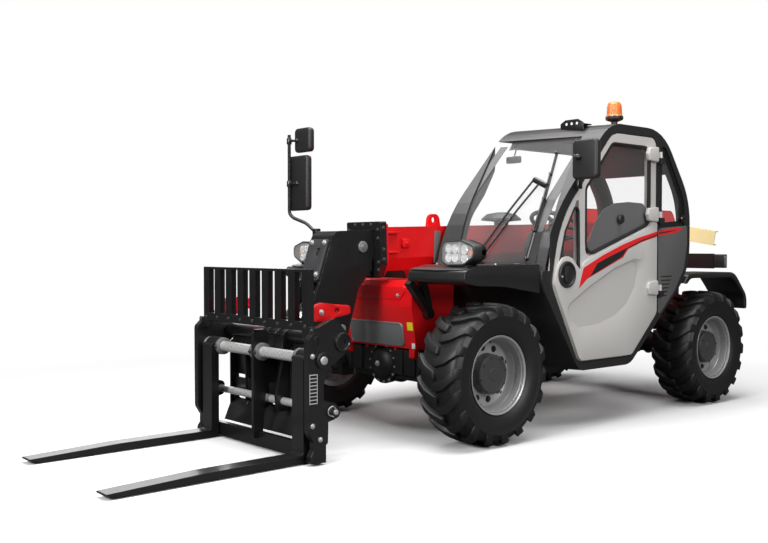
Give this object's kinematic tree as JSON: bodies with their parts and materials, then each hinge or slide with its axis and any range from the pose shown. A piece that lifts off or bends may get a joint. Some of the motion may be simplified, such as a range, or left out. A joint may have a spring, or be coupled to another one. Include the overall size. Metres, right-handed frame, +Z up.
{
  "type": "telehandler",
  "caption": "Compact side-cab telehandler with a two-stage boom, floating-fork carriage, steered axles and an opening cab door and engine hood.",
  "frame": {"origin": "on the ground under the middle of the machine's outline", "axes": "+X forward along the forks, +Y to the cab side, +Z up"},
  "size_m": [4.9545, 2.13, 2.151],
  "materials": {
    "red_paint": "satin",
    "black_paint": "satin",
    "grey_paint": "satin",
    "cab_frame": "satin",
    "plastic": "moulded",
    "red_plastic": "gloss",
    "engine": "cast",
    "cast_weight": "painted",
    "glass": "clear",
    "seat_cloth": "woven",
    "lamp_lens": "clear",
    "red_lens": "clear",
    "orange_lens": "clear",
    "sand_paint": "satin",
    "bright_steel": "ground",
    "fork_steel": "satin",
    "tyre": "moulded",
    "rim_silver": "satin"
  },
  "bodies": {
    "chassis": {"chassis_frame": "red_paint", "nose": "red_paint", "engine_block": "engine", "front_axle": "black_paint", "rear_axle": "black_paint", "cab_frame": "cab_frame", "cab_glass": "glass", "seat": "seat_cloth", "steering": "plastic", "dashboard": "plastic", "front_cowls": "plastic", "headlamps": "lamp_lens", "front_brackets": "black_paint", "rear_fenders": "plastic", "tail_weight": "cast_weight", "tail_lamps": "red_lens", "mirrors": "plastic", "beacon": "orange_lens", "safety_prop": "sand_paint"},
    "door": {"door_panel": "grey_paint", "door_glass": "glass"},
    "hood": {"engine_hood": "red_plastic", "air_intake": "plastic"},
    "boom": {"boom_outer": "red_paint", "boom_collar": "black_paint"},
    "telescope": {"boom_inner": "black_paint", "boom_head": "black_paint"},
    "lift_cylinder": {"lift_barrel": "black_paint"},
    "lift_piston": {"lift_rod": "bright_steel"},
    "tilt_cylinder": {"tilt_barrel": "black_paint"},
    "tilt_piston": {"tilt_rod": "bright_steel"},
    "carriage": {"hitch_frame": "black_paint", "fork_frame": "black_paint", "fork_shafts": "bright_steel", "latch_levers": "red_paint"},
    "left_fork": {"fork_left": "fork_steel"},
    "right_fork": {"fork_right": "fork_steel"},
    "steer_front_left": {"knuckle_front_left": "black_paint"},
    "road_front_left": {"tyre_front_left": "tyre", "wheel_front_left": "rim_silver"},
    "steer_front_right": {"knuckle_front_right": "black_paint"},
    "road_front_right": {"tyre_front_right": "tyre", "wheel_front_right": "rim_silver"},
    "steer_rear_left": {"knuckle_rear_left": "black_paint"},
    "road_rear_left": {"tyre_rear_left": "tyre", "wheel_rear_left": "rim_silver"},
    "steer_rear_right": {"knuckle_rear_right": "black_paint"},
    "road_rear_right": {"tyre_rear_right": "tyre", "wheel_rear_right": "rim_silver"}
  },
  "joints": [
    {"name": "boom_lift", "type": "hinge", "parent": "chassis", "child": "boom", "pos_m": [-2.15234, 0, 1.193], "axis": [0, -1, 0], "range_deg": [0, 68]},
    {"name": "boom_extend", "type": "slide", "parent": "boom", "child": "telescope", "axis": [0.9996, 0, -0.0279], "range_m": [0, 2.15]},
    {"name": "carriage_tilt", "type": "hinge", "parent": "telescope", "child": "carriage", "pos_m": [1.07734, 0, 0.42052], "axis": [0, 1, 0], "range_deg": [-12, 114]},
    {"name": "fork_swing_left", "type": "hinge", "parent": "carriage", "child": "left_fork", "pos_m": [1.32734, 0.46, 0.54552], "axis": [0, -1, 0], "range_deg": [0, 20]},
    {"name": "fork_swing_right", "type": "hinge", "parent": "carriage", "child": "right_fork", "pos_m": [1.32734, -0.46, 0.54552], "axis": [0, -1, 0], "range_deg": [0, 20]},
    {"name": "lift_cylinder_turn", "type": "hinge", "parent": "chassis", "child": "lift_cylinder", "pos_m": [-1.75235, 0, 0.64], "axis": [0, -1, 0], "range_deg": [0, 61.16]},
    {"name": "lift_rod_slide", "type": "slide", "parent": "lift_cylinder", "child": "lift_piston", "axis": [0.9531, 0, 0.3028], "range_m": [0, 0.7476]},
    {"name": "tilt_cylinder_turn", "type": "hinge", "parent": "telescope", "child": "tilt_cylinder", "pos_m": [0.65912, 0, 1.13448], "axis": [0, 1, 0], "range_deg": [-0.65, 6.08]},
    {"name": "tilt_rod_slide", "type": "slide", "parent": "tilt_cylinder", "child": "tilt_piston", "axis": [0.6929, 0, -0.721], "range_m": [-0.0456, 0.429]},
    {"name": "door_open", "type": "hinge", "parent": "chassis", "child": "door", "pos_m": [-1.29035, 0.88, 0.84], "axis": [0, 0, 1], "range_deg": [0, 95]},
    {"name": "hood_open", "type": "hinge", "parent": "chassis", "child": "hood", "pos_m": [-0.80234, -0.17, 1.165], "axis": [-1, 0, 0], "range_deg": [0, 60]},
    {"name": "steer_front_left", "type": "hinge", "parent": "chassis", "child": "steer_front_left", "pos_m": [0.29766, 0.6, 0.408], "axis": [0, 0, 1], "range_deg": [-35, 35]},
    {"name": "steer_front_right", "type": "hinge", "parent": "chassis", "child": "steer_front_right", "pos_m": [0.29766, -0.6, 0.408], "axis": [0, 0, 1], "range_deg": [-35, 35]},
    {"name": "steer_rear_left", "type": "hinge", "parent": "chassis", "child": "steer_rear_left", "pos_m": [-2.00235, 0.6, 0.408], "axis": [0, 0, -1], "range_deg": [-35, 35]},
    {"name": "steer_rear_right", "type": "hinge", "parent": "chassis", "child": "steer_rear_right", "pos_m": [-2.00235, -0.6, 0.408], "axis": [0, 0, -1], "range_deg": [-35, 35]},
    {"name": "roll_front_left", "type": "hinge", "parent": "steer_front_left", "child": "road_front_left", "pos_m": [0.29766, 0.75, 0.408], "axis": [0, 1, 0], "continuous": true},
    {"name": "roll_front_right", "type": "hinge", "parent": "steer_front_right", "child": "road_front_right", "pos_m": [0.29766, -0.75, 0.408], "axis": [0, 1, 0], "continuous": true},
    {"name": "roll_rear_left", "type": "hinge", "parent": "steer_rear_left", "child": "road_rear_left", "pos_m": [-2.00235, 0.75, 0.408], "axis": [0, 1, 0], "continuous": true},
    {"name": "roll_rear_right", "type": "hinge", "parent": "steer_rear_right", "child": "road_rear_right", "pos_m": [-2.00235, -0.75, 0.408], "axis": [0, 1, 0], "continuous": true}
  ],
  "couplings": [
    {"joint": "lift_cylinder_turn", "follows": "boom_lift", "ratio": 0.89922},
    {"joint": "lift_rod_slide", "follows": "boom_lift", "m_per_rad": 0.62946},
    {"joint": "tilt_cylinder_turn", "follows": "carriage_tilt", "ratio": 0.053209},
    {"joint": "tilt_rod_slide", "follows": "carriage_tilt", "m_per_rad": 0.21538},
    {"joint": "steer_front_right", "follows": "steer_front_left", "ratio": 1},
    {"joint": "steer_rear_right", "follows": "steer_rear_left", "ratio": 1}
  ]
}
